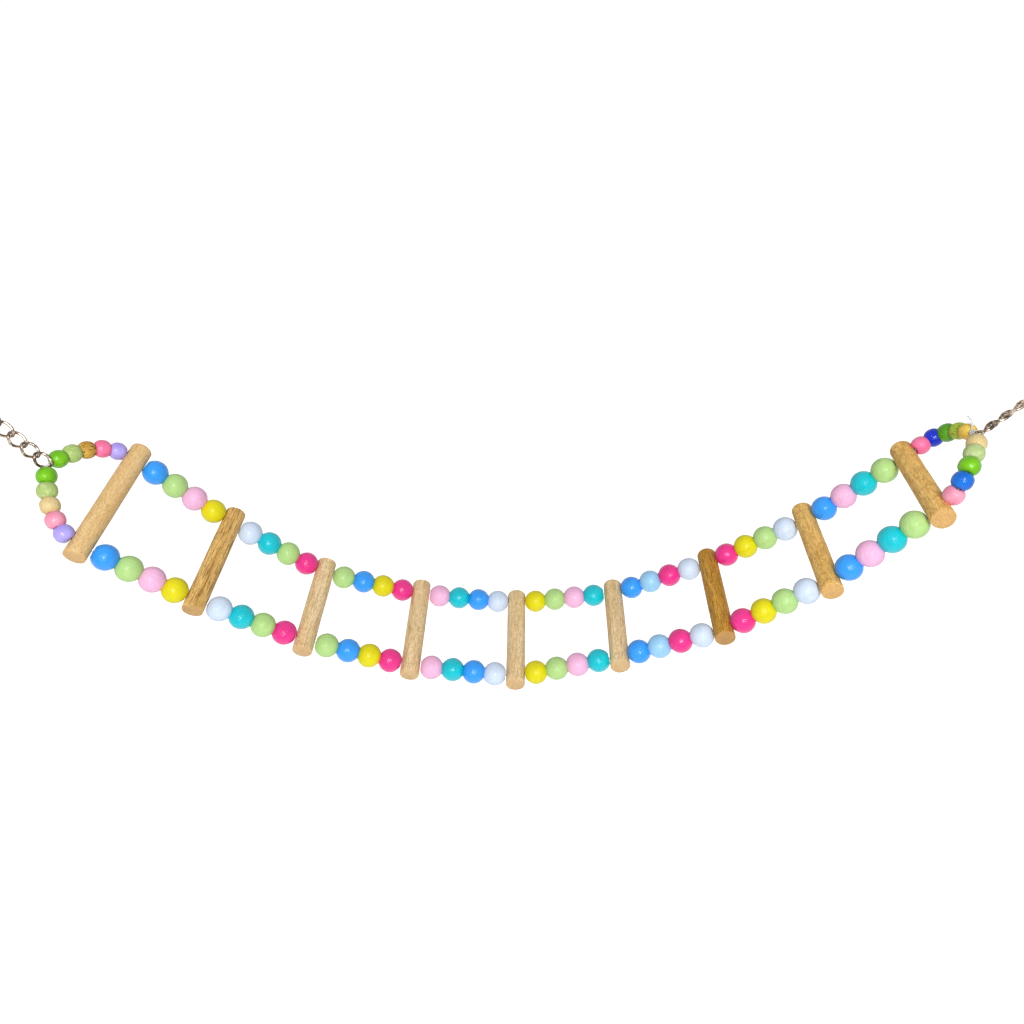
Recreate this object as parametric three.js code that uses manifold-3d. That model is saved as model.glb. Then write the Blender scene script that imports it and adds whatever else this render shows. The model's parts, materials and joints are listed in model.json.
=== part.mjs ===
// A hanging bird ladder: nine wooden rungs between two strands of wooden beads on a clear nylon
// line. Each end is a loop of smaller beads with a short curb chain and a wire hook on it.
// Sizes are millimetres and +Z is up. The ladder runs along X, its rungs lie along Y, and its near
// strand is the one at -Y. The origin is the axis of the bar that the left hook hangs on.
import * as THREE from "three";
import { mergeVertices } from "three/addons/utils/BufferGeometryUtils.js";
import Module from "manifold-3d";

const wasm = await Module();
wasm.setup();

// The nylon line, and the play that pieces resting on each other keep.
const LINE_DIAMETER = 1;
const SEAT_GAP = 0.3;
const STRING_GAP = 0.4; // between a rung and the bead next to it

// The rungs: their size, and what sawing and drilling by hand made of each from left to right: how
// much longer it is, how much further apart its holes are, how far the middle between them lies
// towards the far side, how much further its wood does, and how many degrees its far end turns to
// the right.
const RUNG_DIAMETER = 12.2;
const RUNG_LENGTH = 74;
const HOLE_SPACING = 58;
const RUNG_HOLE = 3.6;
const RUNGS = [
  { longer: 8, wider: 8, shift: 1, over: 0.4, yaw: 0 },
  { longer: 2, wider: 2, shift: -0.5, over: 1.5, yaw: 0 },
  { longer: -4, wider: -5, shift: -2.5, over: 0.5, yaw: 0 },
  { longer: 0, wider: 0, shift: 0.5, over: 1.4, yaw: 0 },
  { longer: 1, wider: 3, shift: -0.5, over: 0.5, yaw: 0 },
  { longer: -3, wider: -3, shift: 2, over: -0.6, yaw: 0 },
  { longer: 1, wider: 2, shift: 1, over: 1, yaw: -0.8 },
  { longer: 3, wider: -1, shift: -0.5, over: 1.9, yaw: -1.8 },
  { longer: -2, wider: -4, shift: 0, over: 0, yaw: -3.2 },
];

// The large beads: four on each side of a bay, cut shorter than a ball so that they sit flat to flat.
const BEAD_DIAMETER = 15;
const BEAD_LENGTH = 13.5;
const BEAD_BORE = 2.2;

// The small beads of the end loops.
const SMALL_BEAD_DIAMETER = 10.6;
const SMALL_BEAD_LENGTH = 8.7;
const SMALL_BEAD_BORE = 2.4;

// How the ladder hangs: each bay's slope in degrees, and the turn of the rungs from one to the next.
const BAY_SLOPES = [-46, -37.5, -25, -9, 9, 25, 37.5, 48];
const TWIST_PER_BAY = 2.4;

// The chain: curb links whose ends are turned a quarter turn against each other.
const LINK_WIRE = 1.6;
const LINK_LENGTH = 11.6;
const LINK_WIDTH = 8.4;
const LINKS_PER_CHAIN = 5;
const LINK_TURN = 90;

// The wire hooks: a closed eye for the chain and an open bend for the bar.
const HOOK_WIRE = 2.4;
const HOOK_EYE = 6.2;
const HOOK_MOUTH = 10;
const HOOK_HEIGHT = 20; // from the eye's middle to the bend's middle
const HOOK_LIP = 5; // how far the open end comes down past the bend's middle
const EYE_ARC = { from: 70, to: 370, points: 11 }; // degrees of the circle that the eye's wire takes
const BEND_ARC = { from: -15, to: 180, points: 7 };
const CHAIN_LEAN = -4; // degrees that the chains lean to the far side on their way up

// The knot that closes the line: its barrel, the share of the barrel's wall left at its two ends,
// the share of its length that each end's shoulder takes, and its cut end, which stands up.
const KNOT_LENGTH = 2.6;
const KNOT_DIAMETER = 3.6;
const KNOT_END_WALL = 0.6;
const KNOT_SHOULDER = 0.3;
const KNOT_TAIL = 9;
const TAIL_LEAN = new THREE.Vector3(0.42, 0.1, 0.9); // in the loop's own frame

// The end loops: slope of the loop, slope of its chain, how far the loop reaches from its rung,
// how far its tip leans to the far side, how many degrees each side hangs below the loop's plane,
// how close the link sits between its beads, and the room for the knot on the far side.
const LOOPS = {
  left: {
    side: -1,
    slope: 48,
    chainSlope: 67,
    reach: 35.9,
    lean: 0.5,
    nearSag: 6,
    farSag: 3,
    snug: 1,
    knot: 0,
  },
  right: {
    side: 1,
    slope: 52.5,
    chainSlope: 55,
    reach: 36,
    lean: 2.5,
    nearSag: -22,
    farSag: 18,
    snug: 1.8,
    knot: KNOT_LENGTH + SEAT_GAP,
  },
};

// One side of a loop's line, past the first bit that stands straight out of the rung: how far along
// the straight way from the rung to the tip each point lies, and how much of the bulge it takes.
const ARCH = [
  { way: 0.35, bulge: 0.86 },
  { way: 0.59, bulge: 1 },
  { way: 0.77, bulge: 0.86 },
  { way: 0.92, bulge: 0.4 },
];

// Colours of the paints and materials.
const PAINT = {
  blue: 0x2f8fe8,
  lime: 0xa6d966,
  pink: 0xf7a6d6,
  yellow: 0xeedb14,
  white: 0xdbe9fb,
  teal: 0x12b3b5,
  magenta: 0xe0216f,
  sky: 0x66b5f2,
  lilac: 0xb08cec,
  rose: 0xf56ba0,
  wood: 0xe3b768,
  streaky: 0x9cc962,
  green: 0x62b517,
  navy: 0x0a35b8,
  leaf: 0x4b9416,
};
const BAY_COLOURS = [
  ["blue", "lime", "pink", "yellow"],
  ["white", "teal", "lime", "magenta"],
  ["lime", "blue", "yellow", "magenta"],
  ["pink", "teal", "blue", "white"],
  ["yellow", "lime", "pink", "teal"],
  ["blue", "sky", "magenta", "white"],
  ["magenta", "yellow", "lime", "white"],
  ["blue", "pink", "teal", "lime"],
];
const LOOP_COLOURS = {
  left: ["lilac", "rose", "wood", "streaky", "green"],
  right: ["rose", "navy", "leaf", "streaky", "wood"],
};

// Finishes. Beads carry their paints as vertex colours.
const RUNG_FINISH = { color: 0xd0a468, roughness: 0.8, metalness: 0 };
const LINE_FINISH = { color: 0xe9eef0, roughness: 0.2, metalness: 0 };
const STEEL_FINISH = { color: 0xb9b4ae, roughness: 0.35, metalness: 1 };
const PAINTED_FINISH = { vertexColors: true, roughness: 0.25, metalness: 0 };

// Facets of the round shapes.
const RUNG_SIDES = 16;
const HOLE_SIDES = 12;
const BEAD_SIDES = 10;
const BEAD_ARC_STEPS = 4;
const LINE_SIDES = 8;
const LINK_SIDES = 6;
const LINK_STEPS = 16;
const HOOK_SIDES = 8;
const HOOK_STEPS = 30;
const ROUTE_STEPS = 48;
const ROUTE_SAMPLES = 16;
const BENT_BORE_STEPS = 15;
const TAIL_STEPS = 4;

// How close two corners lie to count as one, and how often a loop's bulge is halved to fit it.
const SAME_CORNER = 1e-4;
const FIT_ROUNDS = 30;

// Sizes that follow from the ones above.
const rungRadius = RUNG_DIAMETER / 2;
const lineRadius = LINE_DIAMETER / 2;
const beadsPerString = BAY_COLOURS[0].length;
const bayPitch = beadsPerString * BEAD_LENGTH + RUNG_DIAMETER + 2 * STRING_GAP;
const linkReach = (LINK_LENGTH - LINK_WIRE) / 2;
const linkPitch = 2 * linkReach - LINK_WIRE - SEAT_GAP;
const lineInLink = linkReach - (LINK_WIRE + LINE_DIAMETER) / 2 - SEAT_GAP;
const eyeRadius = (HOOK_EYE + HOOK_WIRE) / 2;
const bendRadius = (HOOK_MOUTH + HOOK_WIRE) / 2;
const eyeInLink = linkReach - (LINK_WIRE + HOOK_WIRE) / 2 - SEAT_GAP + eyeRadius;
const linkSide = (LINK_WIDTH - LINK_WIRE) / 2;
const tipGap = linkSide * Math.sin(degrees(LINK_TURN) / 2) + SEAT_GAP;

function degrees(angle) {
  return THREE.MathUtils.degToRad(angle);
}

// A frame with its first axis along the ladder, its second across it and its third out of it.
function frameAt(centre, slope, twist, yaw) {
  const along = new THREE.Vector3(Math.cos(degrees(slope)), 0, Math.sin(degrees(slope)));
  const above = new THREE.Vector3(-along.z, 0, along.x);
  const level = new THREE.Vector3(0, Math.cos(degrees(twist)), 0);
  level.addScaledVector(above, Math.sin(degrees(twist)));
  const across = level.multiplyScalar(Math.cos(degrees(yaw)));
  across.addScaledVector(along, Math.sin(degrees(yaw)));
  along.addScaledVector(across, -along.dot(across)).normalize();
  return frameOf(centre, along, across);
}

function frameOf(centre, along, across) {
  return { centre, along, across, out: along.clone().cross(across) };
}

function pointIn(frame, along, across, out = 0) {
  return frame.centre
    .clone()
    .addScaledVector(frame.along, along)
    .addScaledVector(frame.across, across)
    .addScaledVector(frame.out, out);
}

function named(name, geometry, finish) {
  const mesh = new THREE.Mesh(geometry, new THREE.MeshStandardMaterial(finish));
  mesh.name = name;
  return mesh;
}

function placedIn(frame, mesh) {
  const axes = new THREE.Matrix4().makeBasis(frame.along, frame.across, frame.out);
  mesh.position.copy(frame.centre);
  mesh.quaternion.setFromRotationMatrix(axes);
  return mesh;
}

// A closed geometry as a solid that can be cut and joined.
function solidOf(geometry) {
  const bare = geometry.clone();
  bare.deleteAttribute("normal");
  bare.deleteAttribute("uv");
  const merged = mergeVertices(bare, SAME_CORNER);
  const triVerts = new Uint32Array(merged.index.array);
  const vertProperties = merged.getAttribute("position").array;
  return new wasm.Manifold(new wasm.Mesh({ numProp: 3, vertProperties, triVerts }));
}

function geometryOf(solid) {
  const { vertProperties, triVerts } = solid.getMesh();
  const geometry = new THREE.BufferGeometry();
  geometry.setAttribute("position", new THREE.BufferAttribute(vertProperties, 3));
  geometry.setIndex(new THREE.BufferAttribute(triVerts, 1));
  const faceted = geometry.toNonIndexed();
  faceted.computeVertexNormals();
  return faceted;
}

function circleShape(radius, sides) {
  const corners = [];
  for (let corner = 0; corner < sides; corner++) {
    const angle = (2 * Math.PI * corner) / sides;
    corners.push(new THREE.Vector2(radius * Math.cos(angle), radius * Math.sin(angle)));
  }
  return new THREE.Shape(corners);
}

function tubeAlong(points, radius, sides, steps) {
  const extrudePath = new THREE.CatmullRomCurve3(points);
  const settings = { steps, bevelEnabled: false, extrudePath };
  return new THREE.ExtrudeGeometry(circleShape(radius, sides), settings);
}

// A dowel along its frame's second axis, with a hole for each strand of the line.
function rungGeometry({ longer, wider, shift, over }) {
  const length = RUNG_LENGTH + longer;
  const dowel = new THREE.CylinderGeometry(rungRadius, rungRadius, length, RUNG_SIDES);
  let drilled = solidOf(dowel.translate(0, shift + over, 0));
  for (const side of [-1, 1]) {
    const radius = RUNG_HOLE / 2;
    const drill = new THREE.CylinderGeometry(radius, radius, 2 * RUNG_DIAMETER, HOLE_SIDES);
    drill.rotateZ(Math.PI / 2).translate(0, shift + (side * (HOLE_SPACING + wider)) / 2, 0);
    drilled = drilled.subtract(solidOf(drill));
  }
  return geometryOf(drilled);
}

// A string of beads that touch at their flats, with its bore along +Y from the first bead's flat.
// The bore has as many steps as it needs to follow a bend.
function beadString(diameter, length, bore, colours, boreSteps) {
  const radius = diameter / 2;
  const rim = Math.asin(length / diameter);
  const profile = [new THREE.Vector2(bore / 2, 0)];
  const paints = [colours[0]];
  colours.forEach((colour, bead) => {
    for (let step = 0; step <= BEAD_ARC_STEPS; step++) {
      if (bead > 0 && step === 0) continue;
      const angle = rim * ((2 * step) / BEAD_ARC_STEPS - 1);
      const height = length * (bead + 0.5) + radius * Math.sin(angle);
      profile.push(new THREE.Vector2(radius * Math.cos(angle), height));
      paints.push(colour);
    }
  });
  for (let step = boreSteps; step >= 0; step--) {
    profile.push(new THREE.Vector2(bore / 2, (length * colours.length * step) / boreSteps));
    paints.push(colours[Math.min(Math.floor((step * colours.length) / boreSteps), colours.length - 1)]);
  }
  const geometry = new THREE.LatheGeometry(profile, BEAD_SIDES);
  const shades = [];
  for (let side = 0; side <= BEAD_SIDES; side++) {
    for (const paint of paints) shades.push(...new THREE.Color(PAINT[paint]).toArray());
  }
  geometry.setAttribute("color", new THREE.Float32BufferAttribute(shades, 3));
  return geometry;
}

// Bends a geometry that lies along +Y so that its axis follows a curve, from a place on it.
function bendAlong(geometry, curve, start) {
  const length = curve.getLength();
  const position = geometry.getAttribute("position");
  const out = new THREE.Vector3(0, 0, 1);
  for (let vertex = 0; vertex < position.count; vertex++) {
    const share = (start + position.getY(vertex)) / length;
    const tangent = curve.getTangentAt(share);
    const aside = tangent.clone().cross(out).normalize();
    const bent = curve.getPointAt(share);
    bent.addScaledVector(aside, position.getX(vertex));
    bent.addScaledVector(aside.cross(tangent), position.getZ(vertex));
    position.setXYZ(vertex, bent.x, bent.y, bent.z);
  }
  geometry.computeVertexNormals();
  return geometry;
}

// A curb link along X: an oval ring of wire, turned about X from one end to the other.
class LinkCurve extends THREE.Curve {
  getPoint(share, target = new THREE.Vector3()) {
    const angle = 2 * Math.PI * share;
    const along = linkReach * Math.cos(angle);
    const aside = linkSide * Math.sin(angle);
    const turn = (degrees(LINK_TURN) / 2) * (along / linkReach);
    return target.set(along, aside * Math.cos(turn), aside * Math.sin(turn));
  }
}

// The middle of a hook's wire: its eye at the frame's centre and its bend further along, in the
// plane of the first and third axes.
function hookPoints(frame, side) {
  const points = [];
  const add = (centre, radius, angle) => {
    const along = centre + radius * Math.sin(degrees(angle));
    points.push(pointIn(frame, along, 0, side * radius * Math.cos(degrees(angle))));
  };
  const addArc = (centre, radius, { from, to, points: count }) => {
    for (let spot = 0; spot < count; spot++) {
      add(centre, radius, from + ((to - from) * spot) / (count - 1));
    }
  };
  addArc(0, eyeRadius, EYE_ARC);
  addArc(HOOK_HEIGHT, bendRadius, BEND_ARC);
  points.push(pointIn(frame, HOOK_HEIGHT - HOOK_LIP, 0, -side * (bendRadius + LINK_WIRE)));
  return points;
}

// Where each rung lies: its middle, and its frame along the ladder, across it and out of it.
const rungFrames = RUNGS.map((rung, index) => {
  const before = BAY_SLOPES[index - 1] ?? -LOOPS.left.slope;
  const after = BAY_SLOPES[index] ?? LOOPS.right.slope;
  const centre = new THREE.Vector3();
  for (const slope of BAY_SLOPES.slice(0, index)) {
    centre.x += bayPitch * Math.cos(degrees(slope));
    centre.z += bayPitch * Math.sin(degrees(slope));
  }
  const twist = TWIST_PER_BAY * ((RUNGS.length - 1) / 2 - index);
  return frameAt(centre, (before + after) / 2, twist, rung.yaw);
});

function holePoint(index, side) {
  const { wider, shift } = RUNGS[index];
  return pointIn(rungFrames[index], 0, shift + (side * (HOLE_SPACING + wider)) / 2);
}

const ladder = new THREE.Group();

function addRungs() {
  RUNGS.forEach((rung, index) => {
    const mesh = named(`rung_${index + 1}`, rungGeometry(rung), RUNG_FINISH);
    ladder.add(placedIn(rungFrames[index], mesh));
  });
}

// One strand of a bay: its four beads, and its run of the line, which starts beside the rung on
// its left and goes through the hole of the rung on its right.
function addStrand(bay, strand, side) {
  const from = holePoint(bay, side);
  const to = holePoint(bay + 1, side);
  const run = to.clone().sub(from).normalize();
  const slack = from.distanceTo(to) - beadsPerString * BEAD_LENGTH;
  const string = beadString(BEAD_DIAMETER, BEAD_LENGTH, BEAD_BORE, BAY_COLOURS[bay], 1);
  const beads = named(`${strand}_beads_${bay + 1}`, string, PAINTED_FINISH);
  beads.position.copy(from).addScaledVector(run, slack / 2);
  beads.quaternion.setFromUnitVectors(new THREE.Vector3(0, 1, 0), run);

  const lineLength = from.distanceTo(to) - SEAT_GAP;
  const thread = new THREE.CylinderGeometry(lineRadius, lineRadius, lineLength, LINE_SIDES);
  const line = named(`${strand}_cord_${bay + 1}`, thread, LINE_FINISH);
  const middle = rungRadius + SEAT_GAP + lineLength / 2;
  line.position.copy(from).addScaledVector(run, middle);
  line.quaternion.copy(beads.quaternion);
  ladder.add(beads, line);
}

// The flat frame of a loop: its first axis goes from the rung towards the loop's tip, its second
// across the ladder, and its origin is midway between the rung's holes.
function loopFrame(loop) {
  const index = loop.side < 0 ? 0 : RUNGS.length - 1;
  const rung = rungFrames[index];
  const tip = new THREE.Vector3(Math.cos(degrees(loop.slope)) * loop.side, 0, 0);
  tip.z = Math.sin(degrees(loop.slope));
  tip.addScaledVector(rung.across, -tip.dot(rung.across)).normalize();
  return frameOf(pointIn(rung, 0, RUNGS[index].shift), tip, rung.across);
}

// The points of one side of a loop from the rung's surface to the tip, in the loop's flat frame.
function sidePoints(loop, side, bulge) {
  const half = (HOLE_SPACING + RUNGS[loop.side < 0 ? 0 : RUNGS.length - 1].wider) / 2;
  const sag = degrees(side > 0 ? loop.farSag : loop.nearSag);
  const hole = new THREE.Vector3(rungRadius, side * half, 0);
  const straight = hole.clone().setX(rungRadius + SMALL_BEAD_LENGTH / 4);
  const tip = new THREE.Vector3(loop.reach, loop.lean, 0);
  const outward = new THREE.Vector3(0, side * Math.cos(sag), -loop.side * Math.sin(sag));
  const bent = ARCH.map((spot) => {
    return hole.clone().lerp(tip, spot.way).addScaledVector(outward, bulge * spot.bulge);
  });
  return [hole, straight, ...bent, tip];
}

// The curve of one side, bulging as far as its beads and the room at the tip fill it.
function fittedSide(loop, side, colours) {
  const knot = side > 0 ? loop.knot : 0;
  const needed = SEAT_GAP + colours.length * SMALL_BEAD_LENGTH + loop.snug * tipGap + knot;
  let [least, most] = [0, loop.reach];
  for (let round = 0; round < FIT_ROUNDS; round++) {
    const bulge = (least + most) / 2;
    const curve = new THREE.CatmullRomCurve3(sidePoints(loop, side, bulge));
    if (curve.getLength() < needed) least = bulge;
    else most = bulge;
  }
  return new THREE.CatmullRomCurve3(sidePoints(loop, side, least));
}

// A loop's line, its two strings of small beads and the knot of the right one.
function addLoop(end) {
  const loop = LOOPS[end];
  const frame = loopFrame(loop);
  const colours = LOOP_COLOURS[end];
  const [near, far] = [-1, 1].map((side) => fittedSide(loop, side, colours));
  const lineStart = loop.side < 0 ? -rungRadius : rungRadius + SEAT_GAP;
  const route = [near, far].map((curve) => curve.getSpacedPoints(ROUTE_SAMPLES));
  for (const points of route) {
    points[0].x = lineStart;
    if (lineStart < 0) points.splice(1, 0, points[0].clone().setX(rungRadius));
  }
  const points = [...route[0], ...route[1].slice(0, -1).reverse()];
  const thread = tubeAlong(points, lineRadius, LINE_SIDES, ROUTE_STEPS);
  ladder.add(placedIn(frame, named(`${end}_loop_cord`, thread, LINE_FINISH)));
  for (const [strand, curve] of Object.entries({ near, far })) {
    const sizes = [SMALL_BEAD_DIAMETER, SMALL_BEAD_LENGTH, SMALL_BEAD_BORE];
    const string = beadString(...sizes, colours, BENT_BORE_STEPS);
    const bent = bendAlong(string, curve, SEAT_GAP);
    ladder.add(placedIn(frame, named(`${end}_loop_${strand}_beads`, bent, PAINTED_FINISH)));
  }
  if (loop.knot > 0) addKnot(frame, far, loop.snug * tipGap);
  return pointIn(frame, loop.reach, loop.lean);
}

// The knot: a barrel round the far side's line, with the cut end standing up from it.
function addKnot(frame, curve, gap) {
  const bore = lineRadius + SEAT_GAP;
  const outer = KNOT_DIAMETER / 2;
  const rim = bore + (outer - bore) * KNOT_END_WALL;
  const shoulder = KNOT_LENGTH * KNOT_SHOULDER;
  const profile = [
    new THREE.Vector2(bore, 0),
    new THREE.Vector2(rim, 0),
    new THREE.Vector2(outer, shoulder),
    new THREE.Vector2(outer, KNOT_LENGTH - shoulder),
    new THREE.Vector2(rim, KNOT_LENGTH),
    new THREE.Vector2(bore, KNOT_LENGTH),
    new THREE.Vector2(bore, 0),
  ];
  const barrel = new THREE.LatheGeometry(profile, LINE_SIDES);
  const start = curve.getLength() - gap - KNOT_LENGTH;
  bendAlong(barrel, curve, start);
  const root = curve.getPointAt((start + KNOT_LENGTH / 2) / curve.getLength());
  const foot = new THREE.Vector3(0, 0, (bore + outer) / 2).add(root);
  const top = foot.clone().addScaledVector(TAIL_LEAN, KNOT_TAIL);
  const bow = foot.clone().lerp(top, 0.5).add(new THREE.Vector3(lineRadius, 0, 0));
  const tail = tubeAlong([foot, bow, top], lineRadius, LINE_SIDES, TAIL_STEPS);
  const tied = geometryOf(solidOf(barrel).add(solidOf(tail)));
  ladder.add(placedIn(frame, named("cord_knot", tied, LINE_FINISH)));
}

// The direction in which a loop's chain pulls it.
function chainPull({ side, chainSlope }) {
  const pull = new THREE.Vector3(side * Math.cos(degrees(chainSlope)), 0, 0);
  pull.z = Math.sin(degrees(chainSlope));
  pull.y = Math.tan(degrees(CHAIN_LEAN));
  return pull.normalize();
}

// A chain from the loop's tip towards its hook, and the hook. Returns the middle of the hook's bend.
function addChain(end, tip) {
  const { side } = LOOPS[end];
  const pull = chainPull(LOOPS[end]);
  const aside = pull.clone().cross(new THREE.Vector3(0, 1, 0)).normalize();
  const level = aside.clone().cross(pull);
  const half = degrees(LINK_TURN) / 2;
  const width = aside.clone().multiplyScalar(Math.cos(half)).addScaledVector(level, -Math.sin(half));
  const link = new THREE.TubeGeometry(new LinkCurve(), LINK_STEPS, LINK_WIRE / 2, LINK_SIDES, true);
  const middle = tip.clone().addScaledVector(pull, lineInLink);
  for (let number = 1; number <= LINKS_PER_CHAIN; number++) {
    const mesh = named(`${end}_link_${number}`, link.clone(), STEEL_FINISH);
    ladder.add(placedIn(frameOf(middle.clone(), pull, width), mesh));
    if (number < LINKS_PER_CHAIN) middle.addScaledVector(pull, linkPitch);
  }
  const eye = middle.addScaledVector(pull, eyeInLink);
  const frame = frameOf(eye, pull, level);
  const wire = tubeAlong(hookPoints(frame, side), HOOK_WIRE / 2, HOOK_SIDES, HOOK_STEPS);
  ladder.add(named(`${end}_hook`, wire, STEEL_FINISH));
  return pointIn(frame, HOOK_HEIGHT, 0);
}

addRungs();
BAY_SLOPES.forEach((slope, bay) => {
  addStrand(bay, "near", -1);
  addStrand(bay, "far", 1);
});
const leftSeat = addChain("left", addLoop("left"));
addChain("right", addLoop("right"));
ladder.position.copy(leftSeat).negate();

const part = new THREE.Group();
part.add(ladder);
export default part;
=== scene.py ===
"""A hanging bird ladder of wooden rungs and painted beads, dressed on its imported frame.

Sizes are millimetres unless a name says otherwise, and every mesh is written in metres.
"""

from __future__ import annotations

import json
import logging
import math
import random
from dataclasses import dataclass
from enum import Enum
from functools import cache

import bmesh
import bpy
from mathutils import Euler, Matrix, Vector, geometry, noise

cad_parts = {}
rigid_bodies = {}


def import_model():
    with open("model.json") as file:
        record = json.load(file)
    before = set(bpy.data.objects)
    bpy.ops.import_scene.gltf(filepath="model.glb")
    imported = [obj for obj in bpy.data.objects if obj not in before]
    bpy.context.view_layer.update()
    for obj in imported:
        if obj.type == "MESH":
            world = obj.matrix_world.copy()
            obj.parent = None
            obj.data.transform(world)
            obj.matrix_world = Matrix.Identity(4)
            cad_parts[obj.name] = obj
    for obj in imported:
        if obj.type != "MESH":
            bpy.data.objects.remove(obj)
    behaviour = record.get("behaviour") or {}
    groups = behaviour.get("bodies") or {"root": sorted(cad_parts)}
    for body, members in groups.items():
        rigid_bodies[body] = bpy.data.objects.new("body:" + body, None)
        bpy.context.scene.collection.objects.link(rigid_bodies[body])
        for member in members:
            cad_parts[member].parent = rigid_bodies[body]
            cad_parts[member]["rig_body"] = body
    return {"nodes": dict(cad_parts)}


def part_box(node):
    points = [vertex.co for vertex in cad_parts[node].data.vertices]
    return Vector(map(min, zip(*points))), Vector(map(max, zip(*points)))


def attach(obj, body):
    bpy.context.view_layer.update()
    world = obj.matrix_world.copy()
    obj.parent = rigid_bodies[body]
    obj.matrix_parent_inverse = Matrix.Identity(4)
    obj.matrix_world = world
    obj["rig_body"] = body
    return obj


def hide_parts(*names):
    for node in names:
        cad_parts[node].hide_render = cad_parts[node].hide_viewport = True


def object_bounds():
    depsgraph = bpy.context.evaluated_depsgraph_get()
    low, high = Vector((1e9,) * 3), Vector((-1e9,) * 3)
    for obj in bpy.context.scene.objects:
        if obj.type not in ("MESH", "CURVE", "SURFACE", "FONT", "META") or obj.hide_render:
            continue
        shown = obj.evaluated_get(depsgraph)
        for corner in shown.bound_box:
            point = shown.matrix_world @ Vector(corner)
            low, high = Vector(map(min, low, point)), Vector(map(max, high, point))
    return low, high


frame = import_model()
cad_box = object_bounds()

log = logging.getLogger("bird_ladder")

# A millimetre, and how close two corners are the same one, in metres and in millimetres.
MM = 0.001
SAME_POINT = 1e-6
SAME_POINT_MM = 0.001

SHARP_EDGE = math.radians(60)
FULL_TURN = 2 * math.pi
SEED = 7

# How finely helpers work: rounds to find an axis, flats of a drill bit, its length in radii,
# and a wire's flats and steps.
AXIS_ROUNDS = 200
DRILL_SIDES = 28
DRILL_REACH = 16
WIRE_ROUNDNESS = 5
WIRE_STEPS = 4

# The attributes that carry a piece's own coordinates and its sawn ends.
PLACE = "place"
SAWN = "sawn"

# The colours under the paints and stains, and in the timber.
BARE_WOOD = "c9a26a"
WORN_WOOD = "9a7440"
WOOD_PORE = "8c6a36"
CRACK = "5d4216"
SPECK = "3a3226"
# The next colour is a painted highlight: pale glints of light along the wood grain.
PAINTED_GLINT = "f3dcae"
END_GRAIN = "d9b183"

# The rays that see the floor and the world as white.
SEEN_BY = ("Is Camera Ray", "Is Glossy Ray", "Is Transmission Ray")


def linear(colour: str) -> tuple[float, float, float, float]:
    """Turns a written colour such as "2f8fe8" into the linear one that a shader takes.

    Args:
        colour: Red, green and blue as two hexadecimal digits each.

    Returns:
        The linear colour, with an alpha of 1.
    """
    shares = [int(colour[at : at + 2], 16) / 255 for at in (0, 2, 4)]
    bent = [s / 12.92 if s <= 0.04045 else ((s + 0.055) / 1.055) ** 2.4 for s in shares]
    return (*bent, 1.0)


# Shader graphs


class Number:
    """A shader socket that takes part in Python arithmetic."""

    def __init__(self, graph: Graph, socket: bpy.types.NodeSocket) -> None:
        """Keeps the graph that new nodes go into, and the socket."""
        self.graph = graph
        self.socket = socket

    def maths(self, operation: str, first: object, second: object = 0.0) -> Number:
        """Adds one Math node.

        Args:
            operation: The Math node's operation.
            first: Its first value, a number or a socket.
            second: Its second value.

        Returns:
            The node's result.
        """
        settings = {"operation": operation}
        return self.graph.node("ShaderNodeMath", settings, {0: first, 1: second})

    def __add__(self, other: object) -> Number:
        """Adds."""
        return self.maths("ADD", self, other)

    __radd__ = __add__

    def __sub__(self, other: object) -> Number:
        """Takes away."""
        return self.maths("SUBTRACT", self, other)

    def __rsub__(self, other: object) -> Number:
        """Takes this from a number."""
        return self.maths("SUBTRACT", other, self)

    def __mul__(self, other: object) -> Number:
        """Multiplies."""
        return self.maths("MULTIPLY", self, other)

    def __pow__(self, other: object) -> Number:
        """Raises to a power."""
        return self.maths("POWER", self, other)


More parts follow.
